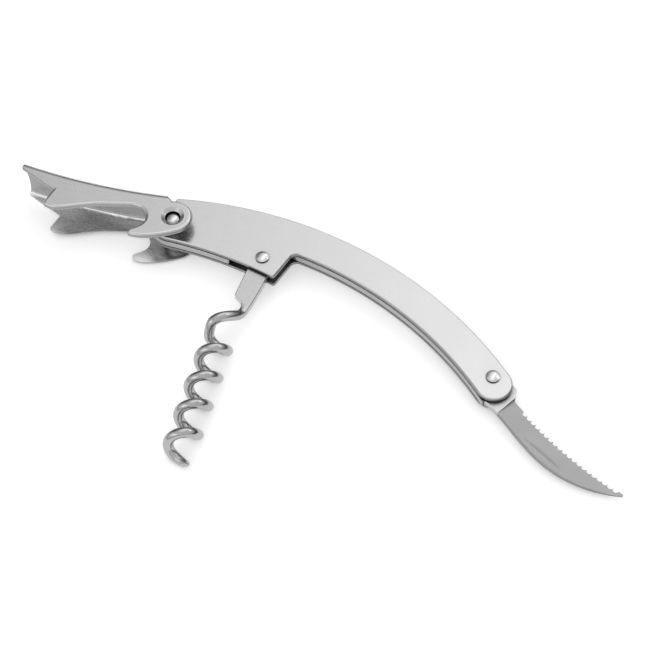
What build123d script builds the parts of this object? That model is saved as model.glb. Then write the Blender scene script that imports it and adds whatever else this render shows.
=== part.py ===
"""Waiter's friend corkscrew, opened flat.

Two curved side plates are riveted over a nose spacer and a long spring.  Between and
around them turn three tools, each on its own rivet: a boot lever pressed from sheet into
a channel, a flat-shanked wire worm, and a serrated foil knife.

The pieces are modelled with the middle of the handle's round nose at the origin, in the
middle plane: +X runs to the knife pivot, +Y to the convex back and +Z through the thickness.
They are written with the origin under the middle of the opened tool, on the lowest face.
"""
from build123d import *
from math import atan2, cos, degrees, radians, sin, sqrt
import os

os.makedirs("parts", exist_ok=True)

# ---- handle -----------------------------------------------------------------------------
plate_thickness = 1.2
tool_gap = 3.0                 # between the two side plates
back_radius = 122.5            # convex back edge
back_crown = (48.6, 19.5)      # highest point of the back edge
strap_height = 10.5            # back edge to belly edge, along the narrow part
nose_radius = 6.5              # round plate end under the lever head, about the origin
nose_corner_x = -3.7           # where the back edge stops, beside the lever
nose_low_angle = -78           # where the nose round ends and the deep belly starts, in degrees
notch_x = 36.7                 # where the narrow part's belly edge starts
heel = (36.1, -2.0)            # corner at the end of the deep part
deep_belly_mid = (16.0, -3.3)
plate_edge_chamfer = 0.35
heel_round = 0.8
notch_round = 2.2
corner_round = 0.8

# ---- pivots -----------------------------------------------------------------------------
lever_pivot_at = (1.0, -1.1)
worm_pivot_at = (29.8, 2.15)
knife_pivot_x = 106.1
knife_pivot_rise = 0.9         # above the middle of the narrow part
tail_overhang = 1.7            # centre of the tail round, past the knife pivot
pin_radius = 1.3
head_radius = 1.9              # domed rivet heads on the plates
head_height = 0.85
head_rim_share = 0.5           # upright part of a head's height
turning_clearance = 0.05       # radial, pin in a turning tool
side_clearance = 0.05          # between faces that slide on each other

# ---- nose spacer and spring -------------------------------------------------------------
bar_thickness = 2.1
nose_spacer_end_x = 21.0
nose_spacer_depth = 9.0        # solid part of the spacer, up from its lower edge
bar_chamfer = 0.25
spring_height = 3.0            # along the belly
spring_front_drop = 0.9        # thicker front end, down to the worm's boss
spring_bearing = 0.1           # between the spring and the round parts that turn on it
spring_start_x = 23.5
spring_end_angle = 2.0         # end of the spring, short of the tail's round, in degrees
locating_pin_radius = 0.8
spring_pin_xs = (44.0, 58.0)   # flush pins through the spring
nose_pin_at = (15.0, 2.5)

# ---- lever ------------------------------------------------------------------------------
lever_width = 14.6             # outside the cheeks
lever_wall = 1.2
lever_bend_radius = 2.4        # outside, between web and cheeks
bend_lead = 0.01               # the bends start this far outside the sheet, so they meet it cleanly
cheek_edge_round = 1.0         # outer edges of the cheeks, rolled over
foot_top = (-48.4, -6.4)       # end of the crown
foot_tip = (-49.0, -8.8)
foot_round = 1.1
foot_hollow = 1.1              # depth of the curve between the tips, for the bottle lip
crown_mid = (-27.0, -2.1)
crown_end = (-5.4, 5.0)
crook = (-35.3, -10.7)         # inner corner of the step that hooks on the lip
fang_tip = (-35.2, -16.8)
fang_low = (-32.2, -16.6)
fang_round = 1.4
arm_low = ((-29.3, -15.3), (-26.4, -13.1), (-20.0, -8.4), (-13.6, -4.9), (-9.4, -3.2))
throat = ((-6.7, -4.2), (-5.4, -6.5), (-6.1, -9.1))
prong_tip = (-10.4, -12.6)
prong_round = 1.3
prong_low = ((-6.2, -12.9), (-0.8, -10.5))
prong_direction = (-1, 0.3)    # the prong's lower edge at its tip
lever_head_radius = 5.8        # about the lever pivot
head_start_angle = 124         # round part of the head, in degrees
head_end_angle = -42
web_end_x = -8.8               # the web stops short of the handle's nose
cup_radius = 2.25              # drawn cup that holds the rivet head
cup_wall = 1.1
cup_floor = 1.2
dish_radius = 3.4
dish_depth = 0.8
lever_head_rivet_radius = 1.9
lever_head_rivet_height = 2.4
lever_head_rim_share = 0.8

# ---- worm -------------------------------------------------------------------------------
worm_lean = -73.9              # direction of the worm's axis when open, degrees from +X
worm_offset = 4.75             # worm's axis from its pivot, towards the lever
worm_outer_diameter = 10.1
wire_diameter = 2.9
worm_pitch = 9.25
worm_turns = 5.0
helix_start = 22.1             # from the pivot along the worm's axis
tip_turns = 0.45               # last part of the wire, ground to a point
tip_diameter = 0.5
shank_thickness = 2.4
shank_width = 6.4              # at the pivot
shank_left = (13.5, -4.6)      # corner on the lever's side
shank_shoulder = (16.0, -1.8)
shank_right = (15.2, 1.8)
shank_chamfer = 0.2
neck_width = 1.8               # of the shank's flat, where it runs into the wire
neck_start = (14.2, -0.1)      # middle of the straight neck
neck_end = (18.0, -0.95)
curl = ((20.7, 40), (22.6, 88), (24.7, 135))    # along the axis, and degrees round it
curl_turns = 0.5               # first part of the helix, which the curl takes up

# ---- foil knife -------------------------------------------------------------------------
blade_lean = -17.0             # blade chord when open, degrees from +X
blade_thickness = 1.9
blade_tip = (48.9, 0.9)
spine_points = ((15.5, -7.6), (25.5, -8.6), (33.0, -7.7), (40.6, -4.8))
blade_heel = (3.2, -6.6)
ricasso_top = (8.8, -0.1)
ricasso_foot = (8.2, -6.5)
kick = (6.9, 2.6)              # corner of the tang
edge_sag = 1.7
tooth_pitch = 1.68
tooth_depth = 0.85
first_tooth = 12.6
last_tooth = 46.2
tang_radius = 4.0
edge_thickness = 0.5           # where the teeth are
grind_reach = 5.0              # where the ground faces come down to that, past the chord
spine_land = 0.5               # flat left along the spine
spine_chamfer = 0.35           # before the faces are ground, so it fades towards the tip
tip_round = 0.4
nick_start = (16.3, -6.7)
nick_end = (33.6, -6.4)
nick_width = 2.0
nick_depth = 0.4
washer_radius = 3.1

# ---- worked out -------------------------------------------------------------------------
arc_centre = Vector(*back_crown) - Vector(0, back_radius)
lever_pivot = Vector(*lever_pivot_at)
worm_pivot = Vector(*worm_pivot_at)
plate_inner = tool_gap / 2
plate_outer = plate_inner + plate_thickness
bar_half = bar_thickness / 2
belly_radius = back_radius - strap_height
middle_radius = back_radius - strap_height / 2
turning_hole = pin_radius + turning_clearance
knife_pivot_radius = middle_radius + knife_pivot_rise
knife_pivot = Vector(
    knife_pivot_x,
    arc_centre.Y + sqrt(knife_pivot_radius ** 2 - (knife_pivot_x - arc_centre.X) ** 2),
)
lever_half = lever_width / 2
lever_inner = lever_half - lever_wall
cup_inner = plate_outer + side_clearance
helix_radius = (worm_outer_diameter - wire_diameter) / 2
spring_front_radius = belly_radius - spring_front_drop
shank_boss_radius = spring_front_radius - (worm_pivot - arc_centre).length - spring_bearing
spring_tail_radius = knife_pivot_radius - tang_radius - spring_bearing


def on_arc(radius, x):
    """Point at x on the upper side of a circle about the handle's arc centre."""
    return Vector(x, arc_centre.Y + sqrt(radius ** 2 - (x - arc_centre.X) ** 2))


def polar(radius, angle):
    """Point at a radius and an angle in degrees about the handle's arc centre."""
    return arc_centre + Vector(radius, 0).rotate(Axis.Z, angle)


def angle_of(point):
    """Direction of a point from the handle's arc centre, in degrees."""
    return degrees(atan2(point.Y - arc_centre.Y, point.X - arc_centre.X))


def concentric_arc(radius, start_angle, end_angle):
    """Arc about the handle's arc centre."""
    middle = (start_angle + end_angle) / 2
    return ThreePointArc(polar(radius, start_angle), polar(radius, middle), polar(radius, end_angle))


def slab(face, low, high):
    """Extrude a face in the XY plane between two heights."""
    return Pos(0, 0, low) * extrude(face, high - low)


def rod(point, radius, low, high):
    """Upright cylinder at a point, between two heights."""
    return slab(Pos(point.X, point.Y) * Circle(radius), low, high)


def round_corner(face, point, radius):
    """Round the corner of a face that is nearest to a point."""
    return fillet(face.vertices().sort_by_distance(point)[0], radius)


# ---- handle -----------------------------------------------------------------------------
tail_angle = angle_of(knife_pivot) - degrees(tail_overhang / middle_radius)
tail_centre = polar(middle_radius, tail_angle)
nose_corner = on_arc(back_radius, nose_corner_x)
notch_corner = on_arc(belly_radius, notch_x)


def handle_face():
    """Side view of the handle: a curved strap, deeper between the lever and the worm."""
    nose_low = Vector(nose_radius, 0).rotate(Axis.Z, nose_low_angle)
    nose_side = Vector(nose_corner_x, sqrt(nose_radius ** 2 - nose_corner_x ** 2))
    tail_tip = tail_centre + Vector(strap_height / 2, 0).rotate(Axis.Z, tail_angle - 90)
    outline = [
        concentric_arc(back_radius, angle_of(nose_corner), tail_angle),
        ThreePointArc(polar(back_radius, tail_angle), tail_tip, polar(belly_radius, tail_angle)),
        concentric_arc(belly_radius, tail_angle, angle_of(notch_corner)),
        Line(notch_corner, heel),
        ThreePointArc(heel, deep_belly_mid, nose_low),
        ThreePointArc(nose_low, (-nose_radius, 0), nose_side),
        Line(nose_side, nose_corner),
    ]
    face = make_face(outline)
    face = round_corner(face, notch_corner, notch_round)
    face = round_corner(face, heel, heel_round)
    return round_corner(face, nose_corner, corner_round)


def side_plate(side):
    """Side plate with its outer edge chamfered; side is +1 or -1."""
    low, high = sorted((side * plate_inner, side * plate_outer))
    plate = slab(handle_face(), low, high)
    outer = plate.faces().sort_by(Axis.Z)[-1 if side > 0 else 0]
    plate = chamfer(outer.edges(), plate_edge_chamfer)
    for centre in (lever_pivot, worm_pivot, knife_pivot):
        plate -= rod(centre, pin_radius, low, high)
    for centre in locating_points():
        plate -= rod(centre, locating_pin_radius, low, high)
    return plate


def locating_points():
    """Where the flush pins go: one in the nose spacer, the others in the spring."""
    middle = belly_radius + spring_height / 2
    return [Vector(*nose_pin_at)] + [on_arc(middle, x) for x in spring_pin_xs]


def locating_pins():
    """Flush pins that hold the spacer and the spring between the plates."""
    return [rod(point, locating_pin_radius, -plate_outer, plate_outer) for point in locating_points()]


def nose_spacer():
    """Bar between the plates at the lever end, flush with the lower edge."""
    reach = nose_spacer_end_x + nose_radius
    window = Pos(nose_spacer_end_x - reach / 2, deep_belly_mid[1] + nose_spacer_depth / 2)
    face = handle_face() & (window * Rectangle(reach, 2 * nose_spacer_depth))
    bar = slab(face, -bar_half, bar_half)
    bar = chamfer(bar.faces().sort_by(Axis.X)[-1].edges(), bar_chamfer)
    bar -= rod(lever_pivot, pin_radius, -bar_half, bar_half)
    return bar - rod(Vector(*nose_pin_at), locating_pin_radius, -bar_half, bar_half)


def spring():
    """Long spring: its front bears on the worm's boss, its tail on the knife's heel."""
    start = angle_of(on_arc(belly_radius, spring_start_x))
    front_end = angle_of(notch_corner) + degrees(notch_round / belly_radius)
    end = tail_angle - spring_end_angle
    under_tang = angle_of(knife_pivot)
    front = polar(belly_radius + spring_height, start)
    middle = polar(belly_radius + spring_height, (start + end) / 2)
    face = make_face([
        concentric_arc(spring_front_radius, start, front_end),
        Line(polar(spring_front_radius, front_end), polar(belly_radius, front_end)),
        concentric_arc(belly_radius, front_end, end),
        Line(polar(belly_radius, end), polar(spring_tail_radius, end)),
        concentric_arc(spring_tail_radius, end, under_tang),
        ThreePointArc(polar(spring_tail_radius, under_tang), middle, front),
        Line(front, polar(spring_front_radius, start)),
    ])
    bar = slab(face, -bar_half, bar_half)
    past_heel = Pos(blade_heel[0] - side_clearance + blade_tip[0] / 2, 0)
    cut = past_heel * Rectangle(blade_tip[0], blade_tip[0])
    bar -= slab(blade_place() * cut, -bar_half, bar_half)
    for point in locating_points()[1:]:
        bar -= rod(point, locating_pin_radius, -bar_half, bar_half)
    return bar


def rivet(point, seat, radius, height, rim_share):
    """Rivet: a pin through the handle, with a low domed head on each side at z = ±seat."""
    rim = seat + rim_share * height
    top = seat + height
    sphere = (radius ** 2 + (top - rim) ** 2) / (2 * (top - rim))
    shoulder_z = top - sphere + sqrt(sphere ** 2 - radius ** 2 / 4)
    solid = rod(Vector(0, 0), pin_radius, -seat, seat)
    for side in (1, -1):
        solid += revolve(Plane.XZ * make_face([
            Line((0, side * seat), (radius, side * seat)),
            Line((radius, side * seat), (radius, side * rim)),
            ThreePointArc((radius, side * rim), (radius / 2, side * shoulder_z), (0, side * top)),
            Line((0, side * top), (0, side * seat)),
        ]), Axis.Z)
    return Pos(point.X, point.Y) * solid


def plate_rivet(point):
    """Rivet whose heads sit on the side plates."""
    return rivet(point, plate_outer, head_radius, head_height, head_rim_share)


def washers(point, tool_thickness):
    """Two washers that centre a tool between the plates."""
    low, high = tool_thickness / 2 + side_clearance, plate_inner
    face = Pos(point.X, point.Y) * (Circle(washer_radius) - Circle(pin_radius))
    return [slab(face, low, high), slab(face, -high, -low)]


# ---- lever ------------------------------------------------------------------------------
def crown_curve():
    """Top edge of the lever from the foot to the head, a shallow hollow arc."""
    return ThreePointArc(foot_top, crown_mid, crown_end)


def head_point(angle):
    """Point on the round head of the lever."""
    return lever_pivot + Vector(lever_head_radius, 0).rotate(Axis.Z, angle)


def lever_face():
    """Side view of the lever: foot, stepped hook, arm, cap lifter slot and head."""
    crown = crown_curve()
    head_start, head_end = head_point(head_start_angle), head_point(head_end_angle)
    down = Vector(0, -1).rotate(Axis.Z, head_end_angle)
    outline = [
        crown,
        Line(crown @ 1, head_start),
        ThreePointArc(head_start, head_point((head_start_angle + head_end_angle) / 2), head_end),
        Spline(head_end, prong_low[1], prong_low[0], prong_tip, tangents=[down, prong_direction]),
        Spline(prong_tip, *reversed(throat), *reversed(arm_low), fang_low),
        Line(fang_low, fang_tip),
        Line(fang_tip, crook),
        Line(crook, foot_tip),
        Line(foot_tip, foot_top),
    ]
    face = make_face(outline)
    for corner, radius in ((prong_tip, prong_round), (fang_tip, fang_round),
                           (foot_tip, foot_round), (foot_top, foot_round)):
        face = round_corner(face, corner, radius)
    return face


def below_crown(inset, half_width, bend_radius):
    """Ring about the crown's own centre, with rounded bends: all that lies below the crown."""
    crown = crown_curve()
    depth = 2 * (crown_end[1] - fang_low[1])
    section = Pos(crown.radius + inset + depth / 2, 0) * Rectangle(depth, 2 * half_width)
    section = fillet(section.vertices().group_by(Axis.X)[0], bend_radius)
    ring = revolve(Plane.XZ * section, Axis.Z)
    return Pos(crown.arc_center.X, crown.arc_center.Y) * ring


def lever_hollow():
    """Inside of the channel: all below the web, and all past the web's end."""
    right = lever_pivot.X + lever_head_radius + lever_wall
    past_web = Pos((web_end_x + right) / 2, 0) * Rectangle(right - web_end_x, 4 * lever_head_radius)
    hollow = below_crown(lever_wall, lever_inner, lever_bend_radius - lever_wall)
    return hollow + slab(past_web, -lever_inner, lever_inner)


def both_sides(solid):
    """The solid and its mirror image below the middle plane."""
    return [solid, mirror(solid, Plane.XY)]


def lever_cup():
    """Cup drawn in from a cheek to the side plate, round the lever's rivet."""
    return rod(lever_pivot, cup_radius + cup_wall, cup_inner, lever_inner)


def cup_opening():
    """Inside of a cup, with the shallow dish round its mouth."""
    bore = rod(lever_pivot, cup_radius, cup_inner + cup_floor, lever_half)
    dish = Cone(cup_radius, dish_radius, dish_depth, align=(Align.CENTER, Align.CENTER, Align.MAX))
    return bore + Pos(lever_pivot.X, lever_pivot.Y, lever_half) * dish


def lever():
    """Boot lever: one sheet folded into a channel."""
    body = slab(lever_face(), -lever_half, lever_half)
    cheeks = body.faces().sort_by(Axis.Z)
    body = fillet(cheeks[0].edges() + cheeks[-1].edges(), cheek_edge_round)
    body &= below_crown(-bend_lead, lever_half + bend_lead, lever_bend_radius)
    body -= lever_hollow()
    body += both_sides(lever_cup())
    body -= both_sides(cup_opening())
    body -= rod(lever_pivot, turning_hole, -lever_half, lever_half)
    lip = foot_hollow / 2 + lever_width ** 2 / (8 * foot_hollow)
    bottle = Pos(foot_tip[0] + foot_hollow - lip, 0) * Rot(90, 0, 0) * Cylinder(lip, 4 * lever_width)
    return body - bottle


# ---- worm -------------------------------------------------------------------------------
def worm_place():
    """Worm's own frame: origin on its pivot, +X along its axis, +Y away from the lever."""
    return Pos(worm_pivot.X, worm_pivot.Y) * Rot(0, 0, worm_lean)


def helix_point(along, angle):
    """Point round the worm's axis; the angle is 0 on the far side from the lever."""
    turn = radians(angle)
    return Vector(along, helix_radius * cos(turn) - worm_offset, helix_radius * sin(turn))


def wire_path():
    """Middle line of the wire as neck and curl, body of the helix, and tip."""
    axis = Plane((helix_start, -worm_offset, 0), x_dir=(0, 1, 0), z_dir=(1, 0, 0))

    def helix_part(first_turn, last_turn):
        turn = Pos(0, 0, worm_pitch * first_turn) * Rot(0, 0, 360 * first_turn)
        return axis * turn * Helix(worm_pitch, worm_pitch * (last_turn - first_turn), helix_radius)

    neck = Line(neck_start, neck_end)
    body = helix_part(curl_turns, worm_turns - tip_turns)
    turns = [helix_point(*point) for point in curl]
    lead = Spline(neck_end, *turns, body @ 0, tangents=(neck % 1, body % 0))
    return [neck, lead], body, helix_part(worm_turns - tip_turns, worm_turns)


def shank_face():
    """Round boss, straight flat and the shoulder that narrows to the wire."""
    half = shank_width / 2
    end, side = Vector(*neck_end), Vector(0, neck_width / 2)
    flat = make_face(Polyline(
        (0, -half), shank_left, shank_shoulder, end - side, end + side, shank_right, (0, half), close=True,
    ))
    return flat + Circle(shank_boss_radius)


def worm():
    """Flat shank that turns on its rivet, drawn out into a right-handed wire helix."""
    lead, body, tip = wire_path()
    section = Circle(wire_diameter / 2)
    solid = slab(shank_face(), -shank_thickness / 2, shank_thickness / 2)
    solid = chamfer(solid.edges().filter_by(GeomType.LINE).filter_by(Plane.XY), shank_chamfer)
    for path in lead + [body]:
        solid += sweep(Plane(path @ 0, z_dir=path % 0) * section, path)
    tip_end = Plane(tip @ 1, z_dir=tip % 1) * Circle(tip_diameter / 2)
    solid += sweep([Plane(tip @ 0, z_dir=tip % 0) * section, tip_end], tip, multisection=True)
    solid -= rod(Vector(0, 0), turning_hole, -shank_thickness, shank_thickness)
    return worm_place() * solid


# ---- foil knife -------------------------------------------------------------------------
def blade_place():
    """Knife's own frame: origin on its pivot, +X along its chord to the tip."""
    return Pos(knife_pivot.X, knife_pivot.Y) * Rot(0, 0, blade_lean)


def edge_curve():
    """Line through the tips of the teeth, from the blade's tip to the ricasso."""
    tip, top = Vector(*blade_tip), Vector(*ricasso_top)
    return ThreePointArc(tip, (top + tip) / 2 - Vector(0, edge_sag), top)


def knife_face():
    """Side view of the knife: round tang with its kick, hollow edge and arched spine."""
    edge = edge_curve()
    throat_y = -sqrt(tang_radius ** 2 - blade_heel[0] ** 2)
    outline = [
        Line((blade_heel[0], throat_y), blade_heel),
        Spline(blade_heel, ricasso_foot, *spine_points, edge @ 0),
        edge,
        Line(edge @ 1, kick),
        Line(kick, (0, tang_radius)),
        Line((0, tang_radius), (0, 0)),
        Line((0, 0), (blade_heel[0], throat_y)),
    ]
    face = round_corner(make_face(outline), blade_tip, tip_round)
    face += Circle(tang_radius)
    radius = (tooth_pitch ** 2 / 4 + tooth_depth ** 2) / (2 * tooth_depth)
    count = int((last_tooth - first_tooth) / tooth_pitch)
    for index in range(count):
        x = first_tooth + (index + 0.5) * tooth_pitch
        along = (blade_tip[0] - x) / (blade_tip[0] - ricasso_top[0])
        face -= Pos(*(edge @ along + Vector(0, radius - tooth_depth))) * Circle(radius)
    return face


def blade_grind():
    """Wedge ground from the upper face, from the spine to a thin edge, past the ricasso."""
    half = blade_thickness / 2
    spine_y = min(y for x, y in spine_points) + spine_land
    edge_half = half - (half - edge_thickness / 2) * (grind_reach - spine_y) / -spine_y
    profile = make_face(Polyline(
        (spine_y, half), (grind_reach, edge_half), (grind_reach, 2 * half), (spine_y, 2 * half), close=True,
    ))
    wedge = Plane.YZ.offset(ricasso_foot[0]) * profile
    return extrude(wedge, blade_tip[0])


def nail_nick():
    """Crescent left by a wide grinding wheel held nearly square to the blade."""
    start, end = Vector(*nick_start), Vector(*nick_end)
    chord = end - start
    radius = (chord.length ** 2 / 4 + nick_depth ** 2) / (2 * nick_depth)
    slope = atan2(nick_depth, nick_width)
    side = chord.normalized().rotate(Axis.Z, 90)
    wheel_axis = side * cos(slope) + Vector(0, 0, sin(slope))
    up = Vector(0, 0, cos(slope)) - side * sin(slope)
    middle = (start + end) / 2 + Vector(0, 0, blade_thickness / 2 - nick_depth)
    place = Plane(middle + up * radius, z_dir=wheel_axis)
    return place * Cylinder(radius, 3 * nick_width, align=(Align.CENTER, Align.CENTER, Align.MIN))


def knife():
    """Serrated foil knife with a nail nick on its upper face."""
    half = blade_thickness / 2
    solid = slab(knife_face(), -half, half)
    spine = [Vector(*spine_points[1]) + Vector(0, 0, height) for height in (half, -half)]
    solid = chamfer([solid.edges().sort_by_distance(middle)[0] for middle in spine], spine_chamfer)
    grind = blade_grind()
    solid -= grind
    solid -= Rot(180, 0, 0) * mirror(grind, Plane.XZ)
    solid -= nail_nick()
    solid -= rod(Vector(0, 0), turning_hole, -half, half)
    return blade_place() * solid


# ---- assembly ---------------------------------------------------------------------------
def build():
    """All pieces by name, in the handle's own frame."""
    lever_seat = cup_inner + cup_floor + side_clearance
    return {
        "front_plate": side_plate(1),
        "rear_plate": side_plate(-1),
        "nose_spacer": nose_spacer(),
        "spring": spring(),
        "locating_pins": Compound(children=locating_pins()),
        "lever": lever(),
        "lever_rivet": rivet(lever_pivot, lever_seat, lever_head_rivet_radius, lever_head_rivet_height,
                             lever_head_rim_share),
        "worm": worm(),
        "worm_rivet": plate_rivet(worm_pivot),
        "worm_washers": Compound(children=washers(worm_pivot, shank_thickness)),
        "knife": knife(),
        "knife_rivet": plate_rivet(knife_pivot),
        "knife_washers": Compound(children=washers(knife_pivot, blade_thickness)),
    }


pieces = build()
corners = [piece.bounding_box() for piece in pieces.values()]
origin = Vector(
    (min(c.min.X for c in corners) + max(c.max.X for c in corners)) / 2,
    (min(c.min.Y for c in corners) + max(c.max.Y for c in corners)) / 2,
    min(c.min.Z for c in corners),
)
for name, piece in pieces.items():
    export_step(Pos(-origin.X, -origin.Y, -origin.Z) * piece, f"parts/{name}.step")
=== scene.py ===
"""Looks of a waiter's friend corkscrew that lies open: steel finishes, studio light, camera."""

import math

import bmesh
import bpy
from mathutils import Matrix, Vector

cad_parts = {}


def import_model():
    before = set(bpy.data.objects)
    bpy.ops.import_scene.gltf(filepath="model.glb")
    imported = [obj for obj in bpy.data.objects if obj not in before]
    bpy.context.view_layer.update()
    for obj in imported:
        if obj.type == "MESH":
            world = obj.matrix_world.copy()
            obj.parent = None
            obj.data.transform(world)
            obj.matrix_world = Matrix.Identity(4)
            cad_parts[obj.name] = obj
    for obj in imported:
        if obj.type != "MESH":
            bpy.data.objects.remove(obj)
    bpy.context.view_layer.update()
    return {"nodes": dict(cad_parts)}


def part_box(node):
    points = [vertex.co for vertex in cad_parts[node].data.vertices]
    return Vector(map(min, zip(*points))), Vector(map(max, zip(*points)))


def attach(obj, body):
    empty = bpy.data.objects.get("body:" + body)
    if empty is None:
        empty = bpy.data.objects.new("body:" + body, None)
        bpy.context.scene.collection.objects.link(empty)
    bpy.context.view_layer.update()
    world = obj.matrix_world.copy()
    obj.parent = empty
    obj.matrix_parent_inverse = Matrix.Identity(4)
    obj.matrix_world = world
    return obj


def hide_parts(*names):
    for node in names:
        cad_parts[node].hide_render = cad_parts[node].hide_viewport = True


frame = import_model()
nodes = frame["nodes"]

# ---- driving values, in metres unless the name says otherwise ---------------------------
MM = 0.001


def middle(name):
    """Middle of a node's box at rest."""
    low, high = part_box(name)
    return (Vector(low) + Vector(high)) / 2


lever_pivot = middle("lever_rivet")
knife_pivot = middle("knife_rivet")
nose_centre = lever_pivot - Vector((1.0, -1.1, 0)) * MM       # middle of the handle's round nose
arc_centre = nose_centre + Vector((48.6, -103.0, 0)) * MM     # centre of the handle's curved back
back_radius = 122.5 * MM
flush_pins = [nose_centre + Vector(spot) * MM for spot in ((15, 2.5, 0), (44, 10.4, 0), (58, 10.1, 0))]
flush_pin_reach = 1.2 * MM             # no softened edges this near a flush pin's middle
lever_lean = 11                        # degrees, the lever's arm from the X axis
far_cheek_light_fade = (-5.6 * MM, -4 * MM)  # heights from the lever's middle, where the far cheek's painted light fades
blade_lean = -17                       # degrees, the blade from the X axis
ricasso_length = 8.2 * MM              # from the knife's pivot to where the grinding starts

# The worm, in its own frame: X along its axis, Y away from the lever, from its pivot.
worm_pivot = middle("worm_rivet")
worm_lean = -73.9                      # degrees, its axis from the X axis
shank_length = 16.5 * MM
bore_radius = 1.35 * MM
wire_radius = 1.5 * MM
tip_radius = 0.25 * MM
tip_turns = 0.4                        # last part of the wire, ground to a point
tip_power = 2.4                        # the grinding bites late
flat_half = 1.2 * MM                   # half thickness of the shank
flat_chamfer = 0.2 * MM
coil_radius = 3.55 * MM                # of the wire's middle line
coil_offset = 4.75 * MM                # coil's axis, towards the lever
coil_pitch = 9.25 * MM
coil_zero = 22.1 * MM                  # where the helix would start, along the axis
coil_first, coil_last = 0.55, 4.98     # turns of it that the wire follows

# Shank, in millimetres: distance along it, its lever side and its other side.
shank_stations = (
    (-3.3, -0.9, 0.9), (-2.9, -1.8, 1.8), (-2.0, -2.7, 2.7), (-0.9, -3.15, 3.15), (0.6, -3.25, 3.15),
    (4.9, -3.65, 2.85), (9.0, -4.05, 2.25), (13.4, -4.5, 1.5), (15.3, -1.95, 1.15),
)
# Neck, in millimetres: its middle, half width and half thickness, and how round it is.
neck_stations = (
    ((16.1, -0.47, 0.0), 1.33, 1.2, 0.1), ((17.1, -0.55, 0.0), 1.25, 1.25, 0.35),
    ((18.2, -0.85, 0.05), 1.3, 1.35, 0.65), ((19.2, -1.3, 0.4), 1.42, 1.45, 0.9),
)
# Curl, in millimetres: middle of the round wire on its way from the neck to the helix.
curl_points = (
    (20.2, -2.0, 1.2), (21.4, -3.3, 2.3), (22.7, -5.0, 3.15), (23.8, -6.6, 3.05), (25.1, -7.8, 2.1),
)

# Fineness of the worm's mesh.
points_per_side = 7                    # on each of the section's four sides, without its chamfers
stations_per_turn = 16
rows_between = 3                       # rows that each station becomes
bore_segments = 64
sharp_angle = 30                       # degrees, above which an edge of the worm stays sharp

camera_target = nose_centre + Vector((56.56, -7.14, 0)) * MM
camera_distance = 426.14 * MM
camera_azimuth = 32.18                 # degrees, looking along +Y turned towards -X
camera_elevation = 57.24
camera_roll = -1.484
camera_lens, camera_sensor = 83.08, 36.0     # millimetres

floor_size = 6.0
floor_gap = 0.03 * MM                  # the floor lies this far under the lowest point
floor_albedo, floor_roughness, floor_glow = 0.9, 0.9, 0.32
cheek_flatness = 0.01 * MM             # points this near the lever's lowest one are its far cheek
wire_reach = 20 * MM                   # worm points this far off the line on which the rest lies are wire

# Studio light by direction: a span of x, y or z and the values at its two ends.
behind_left = (-0.7, -0.1, 0.32, 1.75)
behind_right = (-0.1, 0.25, 1.0, 0.5)
behind_height = (0.15, 0.6, 0.05, 1.0)
front_height = (0.0, 0.3, 0.5, 0.9)
front_to_behind = (-0.3, 0.15, 0.0, 1.0)
# Lamps: direction, distance, size and radiance.
softboxes = {
    "back_softbox": ((0.35, 0.6, 0.7), 1.6, (0.5, 0.4), 1.8),
    "front_softbox": ((-0.25, -0.72, 0.58), 1.3, (0.9, 0.45), 1.0),
}


# ---- node helpers -----------------------------------------------------------------------
def node(tree, kind, inputs=None, **settings):
    """Add a shader node; an input takes a value or another node's socket."""
    made = tree.nodes.new("ShaderNode" + kind)
    for name, value in settings.items():
        setattr(made, name, value)
    for key, value in (inputs or {}).items():
        if isinstance(value, bpy.types.NodeSocket):
            tree.links.new(value, made.inputs[key])
        else:
            made.inputs[key].default_value = value
    return made


def maths(tree, operation, *values):
    """Math node on up to three values or sockets; gives its output."""
    return node(tree, "Math", dict(enumerate(values)), operation=operation).outputs[0]


def spread(tree, value, low, high, to_low, to_high, smooth=False):
    """Map a range of a value to another range, held at its ends."""
    kind = "SMOOTHSTEP" if smooth else "LINEAR"
    ends = {0: value, 1: low, 2: high, 3: to_low, 4: to_high}
    return node(tree, "MapRange", ends, interpolation_type=kind).outputs[0]


def noise(tree, vector, scale, detail=2.0, roughness=0.5):
    """Noise from 0 to 1 at a scale in waves per metre."""
    inputs = {"Vector": vector, "Scale": scale, "Detail": detail, "Roughness": roughness}
    return node(tree, "TexNoise", inputs).outputs["Fac"]


def place(tree):
    """Position in the part's own frame, in metres."""
    return node(tree, "TexCoord").outputs["Object"]


def stretched(tree, vector, scale):
    """Coordinates squeezed so that noise becomes streaks."""
    return node(tree, "Mapping", {"Vector": vector, "Scale": scale}).outputs[0]


def along_handle(tree):
    """Position as length along the handle's arc, distance from its centre, and height."""
    moved = node(tree, "VectorMath", {0: place(tree), 1: arc_centre}, operation="SUBTRACT").outputs[0]
    x, y, z = node(tree, "SeparateXYZ", {0: moved}).outputs
    flat = node(tree, "CombineXYZ", {0: x, 1: y}).outputs[0]
    radius = node(tree, "VectorMath", {0: flat}, operation="LENGTH").outputs["Value"]
    length = maths(tree, "MULTIPLY", maths(tree, "ARCTAN2", x, y), back_radius)
    return node(tree, "CombineXYZ", {0: length, 1: radius, 2: z}).outputs[0]


def turned_place(tree, origin, degrees):
    """Position from a point, turned about Z so that X runs along a direction in the plane."""
    moved = node(tree, "VectorMath", {0: place(tree), 1: origin}, operation="SUBTRACT").outputs[0]
    turn = (0, 0, math.radians(-degrees))
    return node(tree, "Mapping", {"Vector": moved, "Rotation": turn}).outputs[0]


def along_lever(tree):
    """Position from the lever's pivot, with X along its arm."""
    return turned_place(tree, lever_pivot, lever_lean)


def along_blade(tree):
    """Position from the knife's pivot, with X along its blade."""
    return turned_place(tree, knife_pivot, blade_lean)


def along_worm(tree):
    """Position from the worm's pivot, with X along its axis."""
    return turned_place(tree, worm_pivot, worm_lean)


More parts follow.
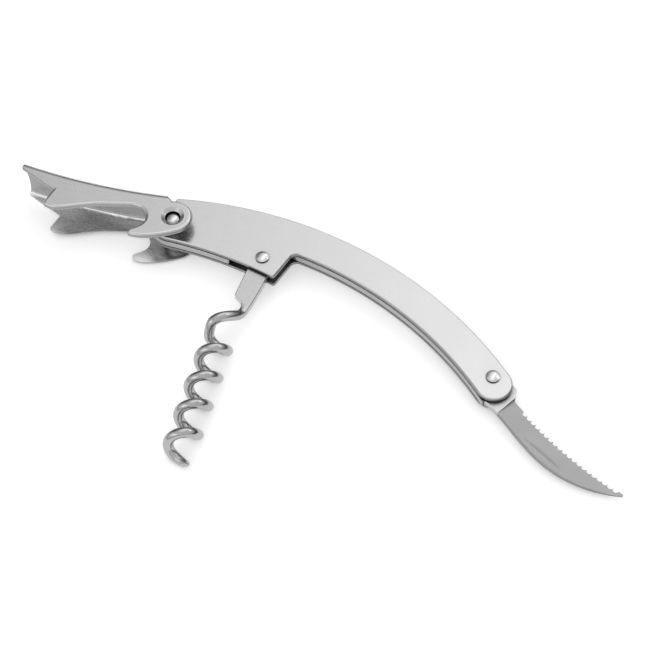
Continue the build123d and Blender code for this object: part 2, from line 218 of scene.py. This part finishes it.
# ---- steel ------------------------------------------------------------------------------
painted_gap_shade_reach = 2.0 * MM
relief_height = 0.02 * MM
cloud_scale, wear_and_highlight_scale, speck_scale = 90.0, 700.0, 2600.0     # waves per metre
bevel_samples, painted_gap_shade_samples = 6, 8
# The far cheek's gain is painted light.
ricasso_brightness, far_cheek_light_gain, shank_brightness = 1.8, 1.5, 1.15
ricasso_blend, shank_blend = 0.1 * MM, 1 * MM


def soft_edges(tree, radius):
    """Normal that rounds the edges over a radius, except at the flush pins."""
    for pin in flush_pins:
        flat = node(tree, "VectorMath", {0: place(tree), 1: (1, 1, 0)}, operation="MULTIPLY").outputs[0]
        there = Vector((pin.x, pin.y, 0))
        away = node(tree, "VectorMath", {0: flat, 1: there}, operation="DISTANCE").outputs["Value"]
        radius = maths(tree, "MULTIPLY", maths(tree, "GREATER_THAN", away, flush_pin_reach), radius)
    return node(tree, "Bevel", {"Radius": radius}, samples=bevel_samples).outputs[0]


def steel(name, colour, roughness, where, grain=(150.0, 1800.0, 1800.0), tone=0.035,
          rough_change=0.06, bump=0.1, edge=0.12 * MM, wear_and_edge_highlight=0.12, side=1.0, painted_gap_shade=0.12, mask=None):
    """Steel with a directional grain, clouds in tone and roughness, and slightly broken edges that are
    brighter, partly as worn metal and partly as a painted highlight.

    side paints shade on the surfaces that stand on edge, darkening their colour by how upright they are.
    crevice paints shade into narrow gaps and corners: their colour darkens where ambient occlusion finds
    nearby surfaces.
    mask gives a place-dependent factor of the colour.
    """
    material = bpy.data.materials.new(name)
    material.use_nodes = True
    tree = material.node_tree
    shader = tree.nodes["Principled BSDF"]
    shader.inputs["Metallic"].default_value = 1.0
    vector = where(tree)
    streaks = noise(tree, stretched(tree, vector, grain), 1.0, 4.0, 0.65)
    clouds = noise(tree, vector, cloud_scale, 3.0)
    specks = noise(tree, vector, speck_scale, 2.0)

    shade = spread(tree, streaks, 0.3, 0.7, 1.0 - tone, 1.0 + tone)
    shade = maths(tree, "MULTIPLY", shade, spread(tree, clouds, 0.3, 0.7, 0.985, 1.015))
    rough = spread(tree, streaks, 0.25, 0.75, roughness - rough_change, roughness + rough_change)
    rough = maths(tree, "ADD", rough, spread(tree, clouds, 0.35, 0.65, -0.03, 0.03))
    rough = maths(tree, "ADD", rough, spread(tree, specks, 0.55, 0.75, 0.0, 0.04))

    true_normal = node(tree, "NewGeometry").outputs["Normal"]
    soft_normal = soft_edges(tree, edge)
    # Painted shade: surfaces that stand on edge get a darker colour, by how upright their normal is.
    if side < 1.0:
        local = node(tree, "VectorTransform", {0: soft_normal}, vector_type="NORMAL",
                     convert_from="WORLD", convert_to="OBJECT").outputs[0]
        upright = maths(tree, "ABSOLUTE", node(tree, "SeparateXYZ", {0: local}).outputs[2])
        shade = maths(tree, "MULTIPLY", shade, spread(tree, upright, 0.5, 0.9, side, 1.0))
    # Painted shade: the colour darkens in gaps, corners and under overhangs, where ambient occlusion finds
    # nearby surfaces.
    open_to_light = node(tree, "AmbientOcclusion", {"Distance": painted_gap_shade_reach},
                         samples=painted_gap_shade_samples).outputs["AO"]
    shade = maths(tree, "MULTIPLY", shade, spread(tree, open_to_light, 0.35, 0.92, painted_gap_shade, 1.0))
    if mask:
        shade = maths(tree, "MULTIPLY", shade, mask(tree, vector))
    normals = {0: true_normal, 1: soft_normal}
    # Edges brighten: partly worn metal, partly a painted highlight.
    turn = node(tree, "VectorMath", normals, operation="DOT_PRODUCT").outputs["Value"]
    worn = spread(tree, turn, 0.995, 0.9, 0.0, 1.0)
    patches = noise(tree, vector, wear_and_highlight_scale, 3.0)
    worn = maths(tree, "MULTIPLY", worn, spread(tree, patches, 0.35, 0.6, 0.4, 1.0))
    shade = maths(tree, "ADD", shade, maths(tree, "MULTIPLY", worn, wear_and_edge_highlight))
    rough = maths(tree, "SUBTRACT", rough, maths(tree, "MULTIPLY", worn, 0.1))

    tint = node(tree, "CombineColor", {
        0: maths(tree, "MULTIPLY", shade, colour[0]),
        1: maths(tree, "MULTIPLY", shade, colour[1]),
        2: maths(tree, "MULTIPLY", shade, colour[2]),
    }).outputs[0]
    height = maths(tree, "ADD", streaks, maths(tree, "MULTIPLY", specks, 0.3))
    relief = node(tree, "Bump", {"Height": height, "Normal": soft_normal, "Strength": bump,
                                 "Distance": relief_height})
    tree.links.new(tint, shader.inputs["Base Color"])
    tree.links.new(rough, shader.inputs["Roughness"])
    tree.links.new(relief.outputs[0], shader.inputs["Normal"])
    return material


def ground_blade(tree, vector):
    """The ricasso is brighter than the blasted, ground part of the blade."""
    x = node(tree, "SeparateXYZ", {0: vector}).outputs[0]
    start, end = ricasso_length - ricasso_blend, ricasso_length + ricasso_blend
    return spread(tree, x, start, end, ricasso_brightness, 1.0)


def far_cheek_painted_light(tree, vector):
    """Painted light: the lever's far cheek lies in the near cheek's shade, and this brightens its colour."""
    z = node(tree, "SeparateXYZ", {0: vector}).outputs[2]
    return spread(tree, z, *far_cheek_light_fade, far_cheek_light_gain, 1.0)


def flat_shank(tree, vector):
    """The worm's flat shank is brighter than its wire."""
    x = node(tree, "SeparateXYZ", {0: vector}).outputs[0]
    start, end = shank_length - shank_blend, shank_length + shank_blend
    return spread(tree, x, start, end, shank_brightness, 1.0)


# ---- finishes ---------------------------------------------------------------------------
def finishes():
    """Every material by name."""
    # The side values below paint shade on the surfaces that stand on edge.
    return {
        "handle": steel("brushed_handle_steel", (0.58, 0.58, 0.585), 0.3, along_handle,
                        edge=0.3 * MM, side=0.4),
        "lever": steel("satin_lever_steel", (0.54, 0.54, 0.545), 0.27, along_lever,
                       grain=(200.0, 1400.0, 1400.0), side=0.6, mask=far_cheek_painted_light),
        "bar": steel("drawn_bar_steel", (0.43, 0.43, 0.435), 0.3, along_handle),
        "rivet": steel("polished_rivet_steel", (0.62, 0.62, 0.625), 0.16, place,
                       grain=(900.0, 900.0, 900.0), tone=0.03, rough_change=0.04, bump=0.05, side=0.25),
        "worm": steel("polished_wire_steel", (0.42, 0.42, 0.425), 0.2, along_worm,
                      grain=(700.0, 700.0, 700.0), tone=0.05, rough_change=0.06, bump=0.06, mask=flat_shank),
        "blade": steel("blasted_blade_steel", (0.34, 0.34, 0.345), 0.42, along_blade,
                       grain=(1500.0, 2500.0, 2500.0), tone=0.06, edge=0.16 * MM, wear_and_edge_highlight=0.9, side=0.8,
                       mask=ground_blade),
        "washer": steel("turned_washer_brass", (0.72, 0.55, 0.3), 0.3, place,
                        grain=(900.0, 900.0, 900.0), tone=0.06),
    }


finish_of = {
    "front_plate": "handle", "rear_plate": "handle", "locating_pins": "handle",
    "nose_spacer": "bar", "spring": "bar",
    "lever": "lever", "lever_rivet": "rivet",
    "worm": "worm", "worm_rivet": "rivet", "worm_washers": "washer",
    "knife": "blade", "knife_rivet": "rivet", "knife_washers": "washer",
}
materials = finishes()
for name, finish in finish_of.items():
    for slot in nodes[name].material_slots:
        slot.material = materials[finish]


# ---- worm -------------------------------------------------------------------------------
def section(half_width, half_height, roundness):
    """Outline of the worm's section, from a chamfered bar (0) to a round wire (1)."""
    across, up = half_width - flat_chamfer, half_height - flat_chamfer
    corners = [(half_width, -up), (half_width, up), (across, half_height), (-across, half_height),
               (-half_width, up), (-half_width, -up), (-across, -half_height), (across, -half_height)]
    count = 4 * (points_per_side + 1)
    points = []
    for index, start in enumerate(corners):
        end = corners[(index + 1) % len(corners)]
        steps = points_per_side if index % 2 == 0 else 1
        for step in range(steps):
            bar = Vector(start).lerp(Vector(end), step / steps)
            angle = 2 * math.pi * (len(points) - points_per_side / 2) / count
            wire = Vector((half_width * math.cos(angle), half_height * math.sin(angle)))
            points.append(bar.lerp(wire, roundness))
    return points


def smooth_rows(rows, steps):
    """Rows of numbers with smooth in-between rows, on a curve through all of them."""
    made = []
    for before, start, end, after in zip(rows, rows[1:], rows[2:], rows[3:]):
        for step in range(steps):
            t = step / steps
            made.append([
                b + t * ((c - a) + t * ((2 * a - 5 * b + 4 * c - d) + t * (3 * (b - c) + d - a))) / 2
                for a, b, c, d in zip(before, start, end, after)
            ])
    return made + [rows[-2]]


def wire_stations():
    """Middle point, half width, half height and roundness along the neck, curl and helix."""
    rows = []
    for along, near, far in shank_stations[-2:]:
        rows.append([along * MM, (near + far) / 2 * MM, 0, (far - near) / 2 * MM, flat_half, 0])
    for point, half_width, half_height, roundness in neck_stations:
        rows.append([value * MM for value in (*point, half_width, half_height)] + [roundness])
    for point in curl_points:
        rows.append([value * MM for value in point] + [wire_radius, wire_radius, 1])
    steps = round((coil_last - coil_first) * stations_per_turn)
    for step in range(steps + 1):
        turns = coil_first + (coil_last - coil_first) * step / steps
        angle = 2 * math.pi * turns
        worn = max(0.0, 1 - (coil_last - turns) / tip_turns)
        radius = wire_radius - (wire_radius - tip_radius) * worn ** tip_power
        rows.append([coil_zero + coil_pitch * turns, coil_radius * math.cos(angle) - coil_offset,
                     coil_radius * math.sin(angle), radius, radius, 1])
    rows.append([2 * last - previous for last, previous in zip(rows[-1], rows[-2])])
    return smooth_rows(rows, rows_between)


def worm_loops():
    """Rings of points round the worm, from the boss on its rivet to its tip."""
    loops = []
    for along, near, far in shank_stations:
        ring = section((far - near) / 2 * MM, flat_half, 0)
        loops.append([Vector((along * MM, (near + far) / 2 * MM + y, z)) for y, z in ring])
    rows = wire_stations()
    places = [Vector(row[:3]) for row in rows]
    tangent, side = Vector((1, 0, 0)), Vector((0, 1, 0))
    for index in range(1, len(rows)):
        last = min(index + 1, len(rows) - 1)
        heading = (places[last] - places[index - 1]).normalized()
        side.rotate(tangent.rotation_difference(heading))
        tangent = heading
        up = tangent.cross(side)
        ring = section(*rows[index][3:])
        loops.append([places[index] + side * y + up * z for y, z in ring])
    return loops


def bore_through(obj):
    """Drill the rivet's hole along Z at the origin of the object's mesh."""
    shape = bmesh.new()
    bmesh.ops.create_cone(shape, cap_ends=True, segments=bore_segments, radius1=bore_radius,
                          radius2=bore_radius, depth=4 * flat_half)
    mesh = bpy.data.meshes.new("drill")
    shape.to_mesh(mesh)
    shape.free()
    drill = bpy.data.objects.new("drill", mesh)
    bpy.context.scene.collection.objects.link(drill)
    cut = obj.modifiers.new("bore", "BOOLEAN")
    cut.object = drill
    bored = bpy.data.meshes.new_from_object(obj.evaluated_get(bpy.context.evaluated_depsgraph_get()))
    obj.modifiers.clear()
    obj.data = bored
    bpy.data.objects.remove(drill)


def worm():
    """Flat shank drawn out smoothly into the wire, in one piece, in place of the CAD worm."""
    loops = worm_loops()
    size = len(loops[0])
    faces = [tuple(range(size)), tuple(range(len(loops) * size - 1, (len(loops) - 1) * size - 1, -1))]
    for ring in range(len(loops) - 1):
        for index in range(size):
            after = (index + 1) % size
            first, second = ring * size, (ring + 1) * size
            faces.append((first + index, second + index, second + after, first + after))
    mesh = bpy.data.meshes.new("worm_wire")
    mesh.from_pydata([point for loop in loops for point in loop], [], faces)
    obj = bpy.data.objects.new("worm_wire", mesh)
    bpy.context.scene.collection.objects.link(obj)
    bore_through(obj)
    turn = Matrix.Rotation(math.radians(worm_lean), 4, "Z")
    obj.data.transform(Matrix.Translation(worm_pivot) @ turn)
    obj.data.polygons.foreach_set("use_smooth", [True] * len(obj.data.polygons))
    obj.data.set_sharp_from_angle(angle=math.radians(sharp_angle))
    obj.data.materials.clear()
    obj.data.materials.append(materials["worm"])
    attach(obj, "worm")
    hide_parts("worm")


# ---- floor ------------------------------------------------------------------------------
def points_of(name):
    """Vertices of a node, in the part's frame."""
    return [vertex.co.copy() for vertex in nodes[name].data.vertices]


def resting_plane():
    """Point and normal of the surface that the open tool lies on.

    It touches the lever's far cheek, the knife rivet's far head and the worm's wire.
    """
    lever_low = min(co.z for co in points_of("lever"))
    cheek = [co for co in points_of("lever") if co.z < lever_low + cheek_flatness]
    left = max(cheek, key=lambda co: co.x)
    right = min(points_of("knife_rivet"), key=lambda co: co.z)
    line = right - left
    side = Vector((line.y, -line.x, 0)).normalized()
    if side.y > 0:
        side = -side

    def climb(co):
        reach = (co - left).dot(side)
        level = left.z + line.z * (co - left).dot(line) / line.dot(line)
        return (co.z - level) / reach

    slope = min(climb(co) for co in points_of("worm") if (co - left).dot(side) > wire_reach)
    normal = line.cross(side + Vector((0, 0, slope))).normalized()
    if normal.z < 0:
        normal = -normal
    lowest = min((co - left).dot(normal) for name in nodes for co in points_of(name))
    return left + normal * (lowest - floor_gap), normal


def seen_by_mirrors(tree):
    """1 for camera, glossy and transmission rays."""
    path = node(tree, "LightPath").outputs
    seen = maths(tree, "MAXIMUM", path["Is Camera Ray"], path["Is Glossy Ray"])
    return maths(tree, "MAXIMUM", seen, path["Is Transmission Ray"])


def floor():
    """White table under the tool. It takes the tool's shadow."""
    point, normal = resting_plane()
    mesh = bpy.data.meshes.new("floor")
    half = floor_size / 2
    corners = [(-half, -half, 0), (half, -half, 0), (half, half, 0), (-half, half, 0)]
    mesh.from_pydata(corners, [], [(0, 1, 2, 3)])
    obj = bpy.data.objects.new("floor", mesh)
    turn = Vector((0, 0, 1)).rotation_difference(normal).to_matrix().to_4x4()
    obj.matrix_world = Matrix.Translation(point) @ turn
    bpy.context.scene.collection.objects.link(obj)

    material = bpy.data.materials.new("white_floor")
    material.use_nodes = True
    tree = material.node_tree
    shader = tree.nodes["Principled BSDF"]
    shader.inputs["Base Color"].default_value = (floor_albedo, floor_albedo, floor_albedo, 1)
    shader.inputs["Roughness"].default_value = floor_roughness
    shader.inputs["Specular IOR Level"].default_value = 0.0
    shader.inputs["Emission Color"].default_value = (1, 1, 1, 1)
    glow = maths(tree, "MULTIPLY", seen_by_mirrors(tree), floor_glow)
    tree.links.new(glow, shader.inputs["Emission Strength"])
    mesh.materials.append(material)


# ---- light ------------------------------------------------------------------------------
def world():
    """White to the camera; to everything else a soft studio, brightest behind and above."""
    sky = bpy.data.worlds.new("studio")
    sky.use_nodes = True
    tree = sky.node_tree
    background = tree.nodes["Background"]
    direction = node(tree, "TexCoord").outputs["Generated"]
    x, y, z = node(tree, "SeparateXYZ", {0: direction}).outputs
    behind = maths(tree, "MULTIPLY", spread(tree, x, *behind_left), spread(tree, x, *behind_right))
    behind = maths(tree, "MULTIPLY", behind, spread(tree, z, *behind_height, smooth=True))
    front = spread(tree, z, *front_height, smooth=True)
    turn = spread(tree, y, *front_to_behind, smooth=True)
    light = node(tree, "Mix", {0: turn, 2: front, 3: behind}).outputs[0]
    seen = node(tree, "LightPath").outputs["Is Camera Ray"]
    strength = node(tree, "Mix", {0: seen, 2: light, 3: 1.0}).outputs[0]
    tree.links.new(strength, background.inputs["Strength"])
    background.inputs["Color"].default_value = (1, 1, 1, 1)
    bpy.context.scene.world = sky


def softbox(name, direction, distance, size, radiance):
    """Rectangular lamp that shines on the tool from a direction."""
    lamp = bpy.data.lights.new(name, "AREA")
    lamp.shape = "RECTANGLE"
    lamp.size, lamp.size_y = size
    lamp.energy = radiance * size[0] * size[1] * math.pi
    obj = bpy.data.objects.new(name, lamp)
    direction = Vector(direction).normalized()
    obj.location = direction * distance
    obj.rotation_euler = direction.to_track_quat("Z", "Y").to_euler()
    bpy.context.scene.collection.objects.link(obj)


def lights():
    """The studio's world and its two lamps, behind and in front."""
    world()
    for name, (direction, distance, size, radiance) in softboxes.items():
        softbox(name, direction, distance, size, radiance)


def camera():
    """Camera that sees the tool from above and in front, as the photograph does."""
    turn, rise = math.radians(camera_azimuth), math.radians(camera_elevation)
    level = math.cos(rise)
    forward = Vector((-math.sin(turn) * level, math.cos(turn) * level, -math.sin(rise)))
    lens = bpy.data.cameras.new("camera")
    lens.lens = camera_lens
    lens.sensor_width = camera_sensor
    obj = bpy.data.objects.new("camera", lens)
    aim = forward.to_track_quat("-Z", "Y").to_matrix().to_4x4()
    roll = Matrix.Rotation(math.radians(camera_roll), 4, "Z")
    obj.matrix_world = Matrix.Translation(camera_target - forward * camera_distance) @ aim @ roll
    bpy.context.scene.collection.objects.link(obj)
    bpy.context.scene.camera = obj


worm()
camera()
floor()
lights()
bpy.context.scene.view_settings.view_transform = "Standard"
